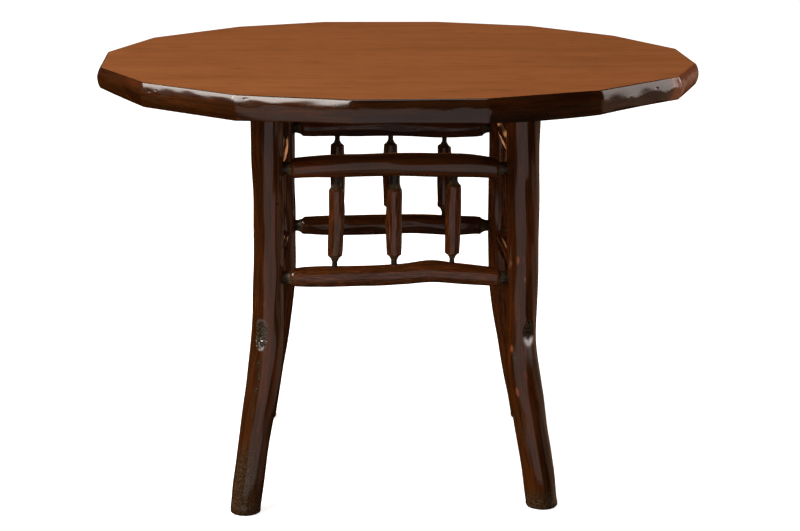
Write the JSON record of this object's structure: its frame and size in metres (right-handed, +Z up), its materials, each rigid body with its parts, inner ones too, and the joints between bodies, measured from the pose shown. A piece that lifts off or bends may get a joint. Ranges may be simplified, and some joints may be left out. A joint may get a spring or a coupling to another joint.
{
  "type": "rustic pole table",
  "caption": "Round-looking many-sided plank table with a pole-slab rim, bent hickory pole legs, tenoned rails and spindles between the rails.",
  "frame": {"origin": "on the floor under the middle of the top", "axes": "+Z up, the front of the table looks along -Y, +X to the right as seen from the front"},
  "size_m": [1.0521, 1.0558, 0.762],
  "materials": {
    "top_plank": "stained and lacquered planks, satin",
    "rim_pole": "dark stained pole slab, glossy lacquer",
    "leg_pole": "dark stained hickory bark, semi-gloss lacquer",
    "rail_pole": "dark stained hickory bark, semi-gloss lacquer",
    "spindle_pole": "dark stained hickory bark with whittled ends, lacquered",
    "cleat": "stained sawn hardwood, matt",
    "fastener_steel": "darkened steel"
  },
  "bodies": {
    "root": {"rim_slab_01": "rim_pole", "rim_slab_02": "rim_pole", "rim_slab_03": "rim_pole", "rim_slab_04": "rim_pole", "rim_slab_05": "rim_pole", "rim_slab_06": "rim_pole", "rim_slab_07": "rim_pole", "rim_slab_08": "rim_pole", "rim_slab_09": "rim_pole", "rim_slab_10": "rim_pole", "rim_slab_11": "rim_pole", "rim_slab_12": "rim_pole", "rim_slab_13": "rim_pole", "rim_slab_14": "rim_pole", "rim_slab_15": "rim_pole", "rim_slab_16": "rim_pole", "plank_1": "top_plank", "plank_2": "top_plank", "plank_3": "top_plank", "plank_4": "top_plank", "plank_5": "top_plank", "plank_6": "top_plank", "plank_7": "top_plank", "plank_8": "top_plank", "cleat_left": "cleat", "cleat_right": "cleat", "leg_front_left": "leg_pole", "leg_front_right": "leg_pole", "leg_back_left": "leg_pole", "leg_back_right": "leg_pole", "rail_front_upper": "rail_pole", "rail_front_lower": "rail_pole", "rail_back_upper": "rail_pole", "rail_back_lower": "rail_pole", "rail_left_upper": "rail_pole", "rail_left_lower": "rail_pole", "rail_right_upper": "rail_pole", "rail_right_lower": "rail_pole", "spindle_front_1": "spindle_pole", "spindle_front_2": "spindle_pole", "spindle_front_3": "spindle_pole", "spindle_back_1": "spindle_pole", "spindle_back_2": "spindle_pole", "spindle_back_3": "spindle_pole", "spindle_left_1": "spindle_pole", "spindle_left_2": "spindle_pole", "spindle_left_3": "spindle_pole", "spindle_right_1": "spindle_pole", "spindle_right_2": "spindle_pole", "spindle_right_3": "spindle_pole", "rim_nails": "fastener_steel", "top_screws": "fastener_steel", "leg_lag_screws": "fastener_steel", "tenon_pins": "fastener_steel"}
  },
  "joints": []
}
